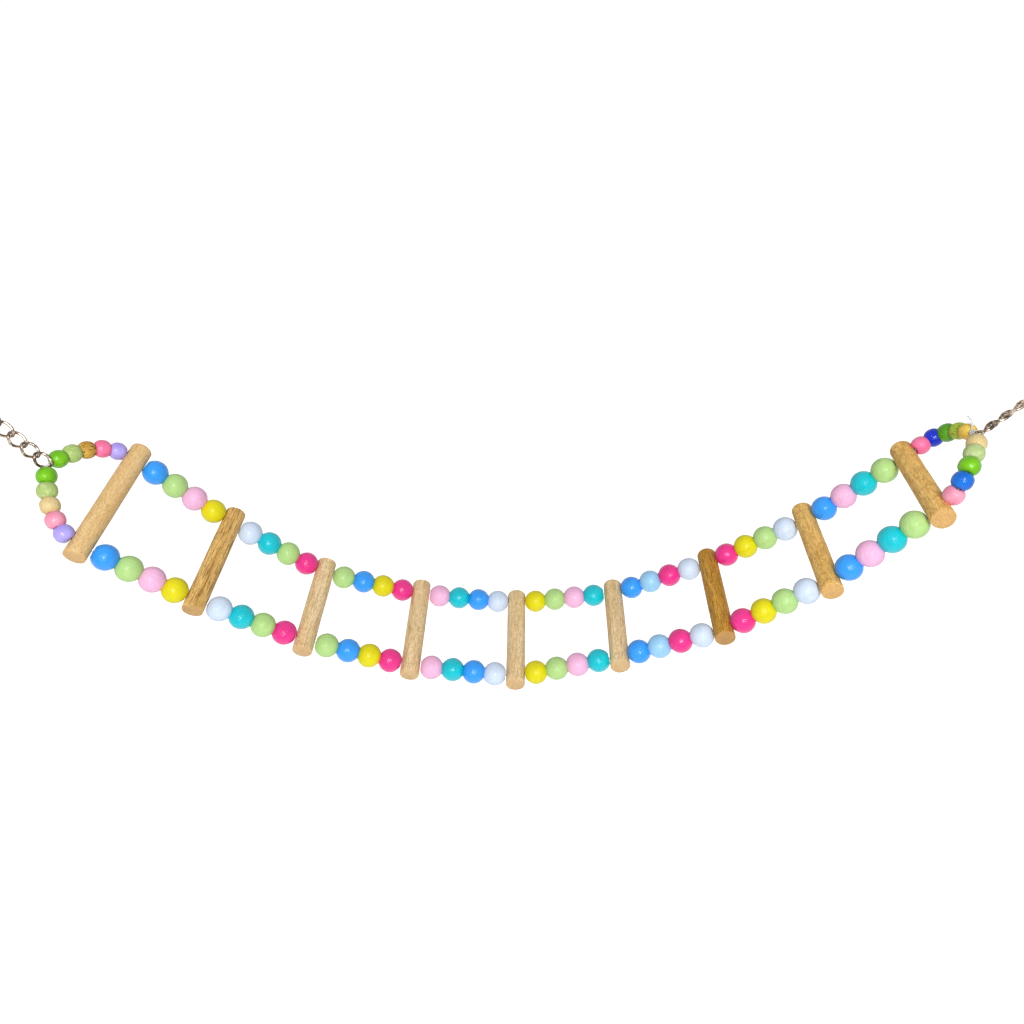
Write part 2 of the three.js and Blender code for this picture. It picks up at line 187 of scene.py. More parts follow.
class Graph:
    """One material's node graph, with a Principled shader at its end."""

    def __init__(self, name: str) -> None:
        """Makes an empty material.

        Args:
            name: The material's name.
        """
        self.material = bpy.data.materials.new(name)
        self.material.use_nodes = True
        self.tree = self.material.node_tree
        self.tree.nodes.clear()
        self.output = self.tree.nodes.new("ShaderNodeOutputMaterial")

    def node(self, kind: str, settings: dict, inputs: dict, output: object = 0) -> Number:
        """Adds a node.

        Args:
            kind: The node's type.
            settings: Its own settings, set first.
            inputs: Values or links for its sockets, by name or index.
            output: The name or index of the socket to return.

        Returns:
            The chosen output socket, ready for arithmetic.
        """
        node = self.tree.nodes.new(kind)
        for key, value in settings.items():
            setattr(node, key, value)
        for key, value in inputs.items():
            if isinstance(value, Number):
                self.tree.links.new(value.socket, node.inputs[key])
            else:
                node.inputs[key].default_value = value
        return Number(self, node.outputs[output])

    def place(self) -> Number:
        """Returns the piece's own millimetre coordinates."""
        return self.node("ShaderNodeAttribute", {"attribute_name": PLACE}, {}, "Vector")

    def sawn(self) -> Number:
        """Returns 1 on a dowel's sawn ends and 0 on its side."""
        return self.node("ShaderNodeAttribute", {"attribute_name": SAWN}, {}, "Fac")

    def stretched(self, vector: Number, shares: tuple[float, float, float]) -> Number:
        """Multiplies a vector axis by axis."""
        settings = {"operation": "MULTIPLY"}
        return self.node("ShaderNodeVectorMath", settings, {0: vector, 1: shares})

    def along(self, vector: Number, share: float) -> Number:
        """Multiplies only the third axis, so that a share under 1 draws a pattern out along it."""
        return self.stretched(vector, (1.0, 1.0, share))

    def axes(self, vector: Number) -> list[Number]:
        """Splits a vector.

        Args:
            vector: The vector's socket.

        Returns:
            Its three numbers.
        """
        node = self.tree.nodes.new("ShaderNodeSeparateXYZ")
        self.tree.links.new(vector.socket, node.inputs[0])
        return [Number(self, socket) for socket in node.outputs]

    def noise(self, vector: Number, scale: float, detail: float = 3.0) -> Number:
        """Returns cloudy noise of that many bumps a millimetre."""
        inputs = {"Vector": vector, "Scale": scale, "Detail": detail, "Roughness": 0.55}
        return self.node("ShaderNodeTexNoise", {}, inputs)

    def dots(self, vector: Number, scale: float) -> Number:
        """Returns the distance to the nearest of a scatter of points."""
        inputs = {"Vector": vector, "Scale": scale}
        return self.node("ShaderNodeTexVoronoi", {}, inputs, "Distance")

    def step(self, value: Number, low: float, high: float) -> Number:
        """Runs smoothly from 0 at low to 1 at high."""
        settings = {"interpolation_type": "SMOOTHSTEP"}
        return self.node("ShaderNodeMapRange", settings, {"Value": value, 1: low, 2: high})

    def mix(self, share: object, first: object, second: object) -> Number:
        """Mixes two colours, from the first at a share of 0 to the second at 1."""
        inputs = {0: share, 6: first, 7: second}
        return self.node("ShaderNodeMix", {"data_type": "RGBA"}, inputs, 2)

    def bump(self, height: Number, distance: float) -> Number:
        """Turns a height into a normal, with that many metres between 0 and 1."""
        inputs = {"Height": height, "Distance": distance, "Strength": 1.0}
        return self.node("ShaderNodeBump", {}, inputs)

    def finish(self, inputs: dict) -> bpy.types.Material:
        """Joins a Principled shader with these sockets to the output.

        Args:
            inputs: Values or links for the shader's sockets.

        Returns:
            The finished material.
        """
        shader = self.node("ShaderNodeBsdfPrincipled", {}, inputs)
        self.tree.links.new(shader.socket, self.output.inputs["Surface"])
        return self.material


# Finishes


@dataclass(frozen=True)
class Paint:
    """Glossy paint on a wooden bead: thin over the grain, worn at the bore, with a few specks."""

    name: str
    colour: str
    shade: str
    specks: float = 0.3
    gloss: float = 0.26
    bore: float = 1.1

    @cache
    def material(self) -> bpy.types.Material:
        """Builds the paint.

        Returns:
            The material, made once.
        """
        graph = Graph(f"paint_{self.name}")
        place = graph.place()
        x, y, _ = graph.axes(place)
        cloud = graph.noise(place, 0.14)
        fine = graph.noise(place, 1.6, 2.0)
        peel = graph.noise(place, 0.62, 2.5)
        base = graph.mix(graph.step(cloud, 0.35, 0.7), linear(self.colour), linear(self.shade))
        speck = 1 - graph.step(graph.dots(place, 0.3), 0.05, 0.09)
        rare = graph.step(graph.noise(place, 0.11, 0.0), 0.62, 0.66)
        base = graph.mix(speck * rare * self.specks, base, linear(SPECK))
        reach = (x * x + y * y) ** 0.5
        worn = 1 - graph.step(reach + fine * 0.4, self.bore + 0.25, self.bore + 0.5)
        base = graph.mix(worn, base, linear(BARE_WOOD))
        height = peel * 0.8 + fine * 0.08
        return graph.finish(
            {
                "Base Color": base,
                "Roughness": self.gloss + fine * 0.1 + worn * 0.3,
                "Specular IOR Level": 0.26,
                "Coat Weight": 0.1 - worn * 0.1,
                "Coat Roughness": 0.08,
                "Normal": graph.bump(height, 0.0005),
            }
        )


@dataclass(frozen=True)
class Stained:
    """A small bead whose stain lets the pale wood show in streaks along its bore."""

    name: str
    colour: str
    wood: str
    share: float
    cracks: float = 0.0
    bore: float = 1.2

    @cache
    def material(self) -> bpy.types.Material:
        """Builds the stained wood.

        Returns:
            The material, made once.
        """
        graph = Graph(f"stain_{self.name}")
        place = graph.place()
        x, y, _ = graph.axes(place)
        swirl = graph.noise(graph.along(place, 0.35), 0.42, 4.0)
        grain = graph.noise(graph.along(place, 0.08), 3.2, 3.0)
        edge = 1 - self.share
        streak = graph.step(swirl + (grain - 0.5) * 0.25, edge - 0.08, edge + 0.08)
        base = graph.mix(streak, linear(self.wood), linear(self.colour))
        base = graph.mix(graph.step(grain, 0.48, 0.7) * 0.4, base, linear(WOOD_PORE))
        split = graph.noise(graph.along(place, 0.25), 0.9, 5.0)
        crack = graph.step(split, 0.54, 0.6) * self.cracks
        base = graph.mix(crack, base, linear(CRACK))
        reach = (x * x + y * y) ** 0.5
        mouth = 1 - graph.step(reach, self.bore + 0.2, self.bore + 0.6)
        base = graph.mix(mouth * 0.5, base, linear(WORN_WOOD))
        height = grain * 0.6 - crack * 1.4
        return graph.finish(
            {
                "Base Color": base,
                "Roughness": 0.42 + grain * 0.2,
                "Specular IOR Level": 0.3,
                "Coat Weight": 0.08,
                "Coat Roughness": 0.25,
                "Normal": graph.bump(height, 0.00015),
            }
        )


@dataclass(frozen=True)
class Timber:
    """Bare sanded dowel wood: grain along it, open pores, paler or browner bands, painted glints of light
    along the grain, and sawn ends darker partly as end grain and partly as painted shade.
    """

    name: str
    colour: str
    shade: str
    dark: str
    streaks: float
    flecks: float
    pores: float

    @cache
    def material(self) -> bpy.types.Material:
        """Builds the wood. The dowel lies along the third of the piece's own coordinates.

        Returns:
            The material, made once.
        """
        graph = Graph(f"timber_{self.name}")
        place = graph.place()
        band = graph.noise(graph.along(place, 0.05), 0.2, 3.0)
        grain = graph.noise(graph.along(place, 0.06), 1.7, 4.0)
        pores = graph.noise(graph.along(place, 0.3), 2.2, 3.0)
        # Painted highlight: pale glints of light, drawn out along the grain.
        painted_glint = graph.noise(graph.along(place, 0.45), 1.9, 2.0)
        blotch = graph.noise(graph.along(place, 0.55), 0.34, 4.0)
        rim = graph.step(blotch, 0.5, 0.56) * (1 - graph.step(blotch, 0.57, 0.66))
        pore = graph.step(pores, 0.54, 0.66)
        base = graph.mix(graph.step(band, 0.32, 0.68), linear(self.colour), linear(self.shade))
        base = graph.mix(graph.step(grain, 0.46, 0.66) * self.streaks, base, linear(self.dark))
        base = graph.mix(rim * self.flecks, base, linear(self.dark))
        base = graph.mix(pore * self.pores, base, linear(self.dark))
        base = graph.mix(graph.step(painted_glint, 0.6, 0.7) * 0.35, base, linear(PAINTED_GLINT))
        # The sawn ends get rings and saw marks, and a darker tone that is partly end grain and partly
        # painted shade.
        sawn = graph.step(graph.sawn(), 0.9, 0.98)
        ring = graph.noise(graph.stretched(place, (0.12, 1.0, 0.0)), 0.9, 3.0)
        saw = graph.noise(graph.stretched(place, (1.0, 0.15, 0.0)), 1.6, 2.0)
        face = graph.mix(0.38 + graph.step(ring, 0.42, 0.6) * 0.34, linear(self.shade), linear(self.dark))
        face = graph.mix(graph.step(saw, 0.5, 0.7) * 0.3, face, linear(self.shade))
        face = graph.mix(0.45, face, linear(END_GRAIN))
        base = graph.mix(sawn * 0.75, base, face)
        height = grain * 0.4 - pore * 0.5 + blotch * 0.2 + sawn * saw * 0.5
        return graph.finish(
            {
                "Base Color": base,
                "Roughness": 0.6 + pore * 0.16,
                "Specular IOR Level": 0.3,
                "Normal": graph.bump(height, 0.00025),
            }
        )


@dataclass(frozen=True)
class Nylon:
    """Clear fishing line, slightly cloudy in patches."""

    name: str = "nylon"

    @cache
    def material(self) -> bpy.types.Material:
        """Builds the clear line.

        Returns:
            The material, made once.
        """
        graph = Graph(self.name)
        cloud = graph.noise(graph.place(), 0.6, 2.0)
        base = graph.mix(cloud, linear("fafcfc"), linear("e6ecee"))
        return graph.finish(
            {
                "Base Color": base,
                "Roughness": 0.12 + cloud * 0.1,
                "IOR": 1.53,
                "Transmission Weight": 0.45,
            }
        )


@dataclass(frozen=True)
class Steel:
    """Plated steel wire, bright, with dark patches that are partly faint tarnish and partly painted shade
    and dark reflection.
    """

    name: str = "steel"

    @cache
    def material(self) -> bpy.types.Material:
        """Builds the plated wire.

        Returns:
            The material, made once.
        """
        graph = Graph(self.name)
        place = graph.place()
        # Dark patches at random: partly tarnish, partly painted shade and dark reflection.
        tarnish_and_shade = graph.step(graph.noise(place, 0.4, 3.0), 0.4, 0.58)
        rub = graph.noise(graph.along(place, 4.0), 2.0, 2.0)
        base = graph.mix(tarnish_and_shade, linear("c6b3a0"), linear("62544a"))
        return graph.finish(
            {
                "Base Color": base,
                "Metallic": 1.0,
                "Roughness": 0.14 + tarnish_and_shade * 0.14 + rub * 0.08,
                "Normal": graph.bump(rub, 0.00002),
            }
        )


class Colour(Enum):
    """The beads' finishes, by the plain name of their colour."""

    BLUE = Paint("blue", "329bf8", "2f92ea", gloss=0.14)
    LIME = Paint("lime", "b1d786", "a7cb7e", gloss=0.4)
    PINK = Paint("pink", "f1b7db", "e4adcf", gloss=0.4)
    YELLOW = Paint("yellow", "e1d603", "d5ca02", gloss=0.4)
    WHITE = Paint("white", "cfdef3", "c4d2e6", gloss=0.45)
    TEAL = Paint("teal", "04c2d0", "04b7c4", gloss=0.14)
    MAGENTA = Paint("magenta", "eb308c", "de2d83", gloss=0.14)
    SKY = Paint("sky", "98cdf2", "90c2e5", gloss=0.18)
    LILAC = Paint("lilac", "b0a5ec", "a393e4", gloss=0.2, bore=1.2)
    ROSE = Paint("rose", "f378a4", "eb6a97", gloss=0.2, bore=1.2)
    BLUSH = Paint("blush", "ee9fb5", "e688a4", gloss=0.2, bore=1.2)
    GREEN = Paint("green", "77c30a", "64ad05", gloss=0.16, bore=1.2)
    LEAF = Paint("leaf", "529d06", "448804", gloss=0.14, bore=1.2)
    ROYAL = Paint("royal", "046fd4", "025ec4", gloss=0.14, bore=1.2)
    NAVY = Paint("navy", "022bca", "0223b3", gloss=0.14, bore=1.2)
    STREAKY = Stained("streaky", "a7c471", "ddd7ae", 0.62)
    OLIVE = Stained("olive", "a4c337", "d2c84c", 0.6, cracks=0.4)
    MINT = Stained("mint", "aec880", "cbd2a7", 0.6)
    CREAM = Stained("cream", "dfc991", "d6b979", 0.6)
    TAN = Stained("tan", "f5d059", "e7bc44", 0.55, cracks=0.2)
    GOLDEN = Stained("golden", "d7ac42", "c0923a", 0.5, cracks=0.9)


class Wood(Enum):
    """The rungs' timbers."""

    PALE = Timber("pale", "eecd96", "e4bd80", "c39657", 0.4, 0.2, 0.6)
    PLAIN = Timber("plain", "f8deb3", "e7c48e", "ab8b55", 0.6, 0.25, 0.7)
    STREAKED = Timber("streaked", "f3c87c", "d3a558", "8a622b", 1.0, 0.2, 0.5)
    BROWN = Timber("brown", "dca63f", "bd872a", "7c5113", 0.8, 0.2, 0.7)
    GOLDEN = Timber("golden", "ffd17b", "eab963", "b2803c", 0.45, 0.5, 0.6)


# Shapes


def packed_mesh(node: str) -> bmesh.types.BMesh:
    """Copies a CAD node's mesh and merges its corners.

    Args:
        node: The node's name.

    Returns:
        The copy, in metres.
    """
    shape = bmesh.new()
    shape.from_mesh(frame["nodes"][node].data)
    bmesh.ops.remove_doubles(shape, verts=shape.verts, dist=SAME_POINT)
    return shape


def ring_middles(node: str) -> list[Vector]:
    """Walks along a CAD tube from one end cap to the other.

    Args:
        node: The name of a node that is a tube along a path.

    Returns:
        The middle of each ring of its corners, in metres.
    """
    tube = packed_mesh(node)
    # The first ring is the rim of one end cap, and each next one is a step further along.
    rims = [edge for edge in tube.edges if edge.calc_face_angle(0.0) > SHARP_EDGE]
    ring = set(rims[0].verts)
    while True:
        wider = ring | {v for edge in rims if ring & set(edge.verts) for v in edge.verts}
        if wider == ring:
            break
        ring = wider
    middles = []
    seen = set()
    while ring:
        middles.append(sum((vert.co for vert in ring), Vector()) / len(ring))
        seen |= ring
        ring = {edge.other_vert(vert) for vert in ring for edge in vert.link_edges} - seen
    tube.free()
    return middles


def own_axes(node: str) -> Matrix:
    """Finds how a straight or flat CAD piece lies.

    Args:
        node: The name of a node with its longest way along one line.

    Returns:
        A matrix whose first axis is the piece's longest way, its second the next, and its
        place the middle of the piece.
    """
    shape = packed_mesh(node)
    points = [vert.co.copy() for vert in shape.verts]
    shape.free()
    middle = sum(points, Vector()) / len(points)
    offsets = [point - middle for point in points]
    spread = Matrix([[sum(p[i] * p[j] for p in offsets) for j in range(3)] for i in range(3)])
    first = main_axis(spread)
    rest = spread - outer(first) * first.dot(spread @ first)
    second = main_axis(rest)
    second = (second - first * second.dot(first)).normalized()
    turn = Matrix((first, second, first.cross(second))).transposed().to_4x4()
    return Matrix.Translation(middle) @ turn


def outer(axis: Vector) -> Matrix:
    """Returns the matrix of an axis's products with itself."""
    return Matrix([[a * b for b in axis] for a in axis])


def main_axis(spread: Matrix) -> Vector:
    """Finds the direction in which points are spread most.

    Args:
        spread: The sum of the points' products with themselves.

    Returns:
        That direction, one long.
    """
    # Any start does that is square to no piece's longest way.
    axis = Vector((0.53, 0.61, 0.59))
    for _ in range(AXIS_ROUNDS):
        axis = (spread @ axis).normalized()
    return axis


def facing(axes: Matrix, direction: Vector) -> Matrix:
    """Turns axes half round, if need be, so that the first points the given way.

    Args:
        axes: The axes and their place.
        direction: The way that the first should point.

    Returns:
        The axes, as they were or turned.
    """
    if axes.to_3x3().col[0].dot(direction) >= 0:
        return axes
    return axes @ Matrix.Rotation(math.pi, 4, "Z")


def along_third(axes: Matrix) -> Matrix:
    """Swaps the axes round, so that the first becomes the third."""
    return axes @ Matrix.Rotation(math.pi / 2, 4, "Y")


def frame_on(middle: Vector, direction: Vector) -> Matrix:
    """Returns a frame at a point with its third axis along a direction."""
    return Matrix.Translation(middle) @ direction.to_track_quat("Z", "Y").to_matrix().to_4x4()


def at_distance(path: list[Vector], distance: float) -> Vector:
    """Finds a point along a path.

    Args:
        path: The path's points, in metres.
        distance: How far along it the point lies, in metres.

    Returns:
        The point.
    """
    for first, second in zip(path, path[1:]):
        run = (second - first).length
        if distance <= run:
            break
        distance -= run
    return first + (second - first).normalized() * distance


def anywhere(rng: random.Random, reach: float) -> Vector:
    """Draws a point in a noise pattern, so that no two pieces show the same part of it."""
    return Vector([rng.uniform(-reach, reach) for _ in range(3)])


def keep_place(shape: bmesh.types.BMesh, shift: Vector) -> None:
    """Writes each corner's own millimetres into the attribute that the materials read.

    Args:
        shape: The shape, in millimetres.
        shift: What is added, so that like pieces show other parts of a pattern.
    """
    layer = shape.verts.layers.float_vector.new(PLACE)
    for vert in shape.verts:
        vert[layer] = vert.co + shift


def piece_from(
    shape: bmesh.types.BMesh, name: str, place: Matrix, material: bpy.types.Material
) -> bpy.types.Object:
    """Makes a finished object of a shape in millimetres.

    Args:
        shape: The shape, which is used up.
        name: The piece's name.
        place: Where the piece lies, in metres.
        material: Its material.

    Returns:
        The object, at the origin with its place in its mesh.
    """
    bmesh.ops.recalc_face_normals(shape, faces=shape.faces)
    shape.transform(place @ Matrix.Scale(MM, 4))
    mesh = bpy.data.meshes.new(name)
    shape.to_mesh(mesh)
    shape.free()
    mesh.materials.append(material)
    mesh.shade_smooth()
    piece = bpy.data.objects.new(name, mesh)
    bpy.context.scene.collection.objects.link(piece)
    return piece


def stands_for(piece: bpy.types.Object, node: str) -> None:
    """Puts a piece in a CAD node's stead.

    Args:
        piece: The finished piece.
        node: The node that it stands for, whose body it rides on.
    """
    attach(piece, frame["nodes"][node]["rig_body"])
    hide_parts(node)
    log.info("%s stands for %s", piece.name, node)


def turned(section: list[Vector], sides: int, closed: bool = False) -> bmesh.types.BMesh:
    """Turns half a section into a round shape, as a lathe does.

    Args:
        section: The corners of the section, with the third axis as the lathe's.
        sides: How many flats go round.
        closed: Whether the section's last corner joins its first, as on a shape with a bore.

    Returns:
        The turned shape.
    """
    shape = bmesh.new()
    corners = [shape.verts.new(point) for point in section]
    nexts = corners[1:] + corners[:1] if closed else corners[1:]
    edges = [shape.edges.new(pair) for pair in zip(corners, nexts)]
    bmesh.ops.spin(
        shape,
        geom=corners + edges,
        cent=(0, 0, 0),
        axis=(0, 0, 1),
        angle=FULL_TURN,
        steps=sides,
        use_merge=True,
    )
    bmesh.ops.remove_doubles(shape, verts=shape.verts, dist=SAME_POINT_MM)
    return shape


def drilled(
    shape: bmesh.types.BMesh, holes: list[tuple[Vector, Vector]], radius: float
) -> bmesh.types.BMesh:
    """Drills round holes right through a shape.

    Args:
        shape: The shape, which is used up.
        holes: The middle and direction of each hole.
        radius: The holes' radius.

    Returns:
        The drilled shape.
    """
    bit = bmesh.new()
    for middle, direction in holes:
        bmesh.ops.create_cone(
            bit,
            cap_ends=True,
            segments=DRILL_SIDES,
            radius1=radius,
            radius2=radius,
            depth=radius * DRILL_REACH,
            matrix=frame_on(middle, direction),
        )
    bmesh.ops.recalc_face_normals(shape, faces=shape.faces)
    bodies = []
    for body in (shape, bit):
        mesh = bpy.data.meshes.new("blank")
        body.to_mesh(mesh)
        body.free()
        bodies.append(bpy.data.objects.new("blank", mesh))
        bpy.context.scene.collection.objects.link(bodies[-1])
    blank, tool = bodies
    cut = blank.modifiers.new("holes", "BOOLEAN")
    cut.operation = "DIFFERENCE"
    cut.solver = "EXACT"
    cut.object = tool
    ready = blank.evaluated_get(bpy.context.evaluated_depsgraph_get())
    result = bmesh.new()
    result.from_mesh(ready.to_mesh())
    for body in bodies:
        mesh = body.data
        bpy.data.objects.remove(body)
        bpy.data.meshes.remove(mesh)
    return result


def wire_shape(path: list[Vector], radius: float, closed: bool = False) -> bmesh.types.BMesh:
    """Runs a round wire along a path.

    Args:
        path: The points of the path, in millimetres.
        radius: The wire's radius.
        closed: Whether the wire joins its own start.

    Returns:
        The wire's shape.
    """
    curve = bpy.data.curves.new("wire", "CURVE")
    curve.dimensions = "3D"
    curve.bevel_depth = radius
    curve.bevel_resolution = WIRE_ROUNDNESS
    curve.resolution_u = WIRE_STEPS
    curve.use_fill_caps = not closed
    spline = curve.splines.new("BEZIER")
    spline.bezier_points.add(len(path) - 1)
    for knot, point in zip(spline.bezier_points, path):
        knot.co = point
        knot.handle_left_type = knot.handle_right_type = "AUTO"
    spline.use_cyclic_u = closed
    carrier = bpy.data.objects.new("wire", curve)
    mesh = bpy.data.meshes.new_from_object(carrier)
    shape = bmesh.new()
    shape.from_mesh(mesh)
    bmesh.ops.remove_doubles(shape, verts=shape.verts, dist=radius * 0.01)
    bpy.data.objects.remove(carrier)
    bpy.data.curves.remove(curve)
    bpy.data.meshes.remove(mesh)
    return shape


# The ladder's pieces


@dataclass
class Bead:
    """A turned wooden bead with a bore, cut flat where it meets its neighbours."""

    diameter: float
    length: float
    bore: float
    fullness: float
    sides: int = 40
    arc_steps: int = 22
    lip: float = 0.35
    lumps: float = 1.6
    wobble: float = 0.012
    skim: float = 0.05

    def profile(self, size: float) -> list[Vector]:
        """Draws half of the bead's section, from the bore's one end round to the other.

        Args:
            size: How wide the bead is, as a share of the full diameter.

        Returns:
            The corners of the section.
        """
        half = self.length / 2
        radius = self.diameter / 2 * size
        drop = (self.length / self.diameter) ** 2
        points = []
        for step in range(self.arc_steps + 1):
            height = -math.cos(math.pi * step / self.arc_steps)
            round_share = max(1 - drop * abs(height) ** self.fullness, 0.0) ** 0.5
            points.append(Vector((radius * round_share, 0, half * height)))
        lip = self.lip
        mouth = self.bore / 2
        return [
            Vector((mouth, 0, -half + lip)),
            Vector((mouth + lip * 0.4, 0, -half + lip * 0.25)),
            Vector((mouth + lip, 0, -half)),
            *points,
            Vector((mouth + lip, 0, half)),
            Vector((mouth + lip * 0.4, 0, half - lip * 0.25)),
            Vector((mouth, 0, half - lip)),
        ]

    def shape(self, rng: random.Random, size: float = 1.0) -> bmesh.types.BMesh:
        """Turns the bead, a little out of true.

        Args:
            rng: Where its small faults come from.
            size: How wide the bead is, as a share of the full diameter.

        Returns:
            The shape in millimetres, with its bore along the third axis.
        """
        shape = turned(self.profile(size), self.sides, closed=True)
        turn = Matrix.Rotation(rng.uniform(0, FULL_TURN), 4, "Z")
        shape.transform(turn)
        fault = anywhere(rng, 50)
        keep_place(shape, Vector())
        for vert in shape.verts:
            reach = Vector((vert.co.x, vert.co.y, 0))
            if reach.length > self.bore:
                wobble = noise.noise(vert.co * (self.lumps / self.diameter) + fault)
                vert.co += reach.normalized() * (wobble * self.wobble * self.diameter - self.skim)
        return shape


@dataclass
class Strands:
    """The two strands of large beads between the rungs."""

    bead: Bead
    rows: tuple[tuple[Colour, ...], ...]

    def build(self, rng: random.Random) -> None:
        """Makes every bead of every bay, each on the body of its own string.

        Args:
            rng: Where their small faults come from.
        """
        for bay, colours in enumerate(self.rows, 1):
            for strand in ("near", "far"):
                node = f"{strand}_beads_{bay}"
                self.string(node, colours, rng)

    def string(self, node: str, colours: tuple[Colour, ...], rng: random.Random) -> None:
        """Makes the beads of one string.

        Args:
            node: The CAD node that they stand for.
            colours: Their finishes from left to right.
            rng: Where their small faults come from.
        """
        axes = along_third(facing(own_axes(node), Vector((1, 0, 0))))
        for number, colour in enumerate(colours, 1):
            offset = (number - (len(colours) + 1) / 2) * self.bead.length
            place = axes @ Matrix.Translation((0, 0, offset * MM))
            shape = self.bead.shape(rng)
            piece = piece_from(shape, f"{node}_{number}", place, colour.value.material())
            stands_for(piece, node)


@dataclass
class EndLoop:
    """An end loop's ten small beads on their bend of line."""

    end: str
    bead: Bead
    near: tuple[Colour, ...]
    far: tuple[Colour, ...]
    near_sizes: tuple[float, ...]
    far_sizes: tuple[float, ...]
    start: float

    def build(self, rng: random.Random) -> None:
        """Makes the loop's beads, each along the line where it sits.

        Args:
            rng: Where their small faults come from.
        """
        path = ring_middles(f"{self.end}_loop_cord")
        if path[0].y > path[-1].y:
            path.reverse()
        self.side("near", path, list(zip(self.near, self.near_sizes)), rng)
        self.side("far", path[::-1], list(zip(self.far, self.far_sizes)), rng)

    def side(
        self, strand: str, path: list[Vector], beads: list[tuple[Colour, float]], rng: random.Random
    ) -> None:
        """Makes the beads of one side, from the rung outwards.

        Args:
            strand: The side, near or far.
            path: The line's route from that side's rung.
            beads: The finish and width of each bead.
            rng: Where their small faults come from.
        """
        node = f"{self.end}_loop_{strand}_beads"
        for number, (colour, size) in enumerate(beads, 1):
            distance = self.start + number * self.bead.length
            inner = at_distance(path, (distance - self.bead.length) * MM)
            outer_end = at_distance(path, distance * MM)
            shape = self.bead.shape(rng, size)
            place = frame_on((inner + outer_end) / 2, outer_end - inner)
            piece = piece_from(shape, f"{node}_{number}", place, colour.value.material())
            stands_for(piece, node)


@dataclass
class Rungs:
    """The wooden rungs: sawn dowels with a little wobble, each drilled for the line."""

    diameter: float
    hole: float
    timbers: tuple[Wood, ...]
    edge: float = 0.45
    sides: int = 48
    steps: int = 44
    across: float = 0.12
    along: float = 0.045
    wobble: float = 0.14
    skim: float = 0.04
    tilt: float = 0.05

    def build(self, rng: random.Random) -> None:
        """Makes every rung."""
        for number, timber in enumerate(self.timbers, 1):
            self.rung(number, timber, rng)

    def rung(self, number: int, timber: Wood, rng: random.Random) -> None:
        """Makes one rung.

        Args:
            number: Its number from the left.
            timber: Its wood.
            rng: Where its small faults come from.
        """
        node = f"rung_{number}"
        axes = along_third(facing(own_axes(node), Vector((0, 1, 0))))
        axis = axes.to_3x3().col[2]
        length = self.packed_length(node, axis)
        inward = axes.inverted()
        holes = [self.hole_at(number, strand, axes) for strand in ("near", "far")]
        holes = [((inward @ middle) / MM, inward.to_3x3() @ way) for middle, way in holes]
        shape = drilled(self.dowel(length, rng), holes, self.hole / 2)
        keep_place(shape, anywhere(rng, 60))
        self.mark_ends(shape, length)
        piece = piece_from(shape, f"{node}_dowel", axes, timber.value.material())
        stands_for(piece, node)

    def hole_at(self, number: int, strand: str, axes: Matrix) -> tuple[Vector, Vector]:
        """Finds one hole from the line that runs through it.

        Args:
            number: The rung's number.
            strand: The strand that the hole is for.
            axes: How the rung lies, with its length along the third axis.

        Returns:
            The hole's middle on the rung's axis and its direction, in metres.
        """
        ways = []
        places = []
        for bay in (number - 1, number):
            if 1 <= bay < len(self.timbers):
                path = ring_middles(f"{strand}_cord_{bay}")
                path.sort(key=lambda middle: middle.x)
                ways.append((path[-1] - path[0]).normalized())
                places.append(path[-1] if bay < number else path[0])
        way = sum(ways, Vector()).normalized()
        centre = axes.translation
        axis = axes.to_3x3().col[2]
        spots = []
        for spot, run in zip(places, ways):
            closest, _ = geometry.intersect_line_line(centre, centre + axis, spot, spot + run)
            spots.append(closest)
        return sum(spots, Vector()) / len(spots), way

    def mark_ends(self, shape: bmesh.types.BMesh, length: float) -> None:
        """Marks the corners of the sawn ends, for the wood's end grain and the painted shade on the ends.

        Args:
            shape: The dowel, along the third axis.
            length: Its length.
        """
        layer = shape.verts.layers.float.new(SAWN)
        for vert in shape.verts:
            vert[layer] = float(abs(vert.co.z) > length / 2 - self.edge)

    def packed_length(self, node: str, axis: Vector) -> float:
        """Returns the cut length of the CAD dowel in millimetres."""
        places = [vert.co.dot(axis) for vert in frame["nodes"][node].data.vertices]
        return (max(places) - min(places)) / MM

    def dowel(self, length: float, rng: random.Random) -> bmesh.types.BMesh:
        """Saws a dowel, with its edges a little broken and its ends not quite square.

        Args:
            length: Its length.
            rng: Where its small faults come from.

        Returns:
            The shape in millimetres along the third axis.
        """
        radius = self.diameter / 2
        edge = self.edge
        half = length / 2
        stations = [(-half, radius - edge), (-half + edge * 0.4, radius - edge * 0.3)]
        for step in range(self.steps + 1):
            share = step / self.steps
            stations.append((-half + edge + (length - 2 * edge) * share, radius))
        stations.append((half - edge * 0.4, radius - edge * 0.3))
        stations.append((half, radius - edge))
        face = radius * 0.5
        profile = [(-half, 0.0), (-half, face), *stations, (half, face), (half, 0.0)]
        shape = turned([Vector((r, 0, z)) for z, r in profile], self.sides)
        fault = anywhere(rng, 50)
        slope = self.tilt
        tilts = [Vector((rng.uniform(-slope, slope), rng.uniform(-slope, slope), 0)) for _ in range(2)]
        for vert in shape.verts:
            reach = Vector((vert.co.x, vert.co.y, 0))
            spot = Vector((reach.x * self.across, reach.y * self.across, vert.co.z * self.along))
            wobble = noise.noise(spot + fault) * self.wobble - self.skim
            if reach.length > 0:
                vert.co += reach.normalized() * wobble * (reach.length / radius)
            if abs(vert.co.z) > half - 2 * edge:
                tilt = tilts[0] if vert.co.z < 0 else tilts[1]
                pull = -abs(tilt.dot(vert.co))
                vert.co.z += math.copysign(1, vert.co.z) * pull
        return shape


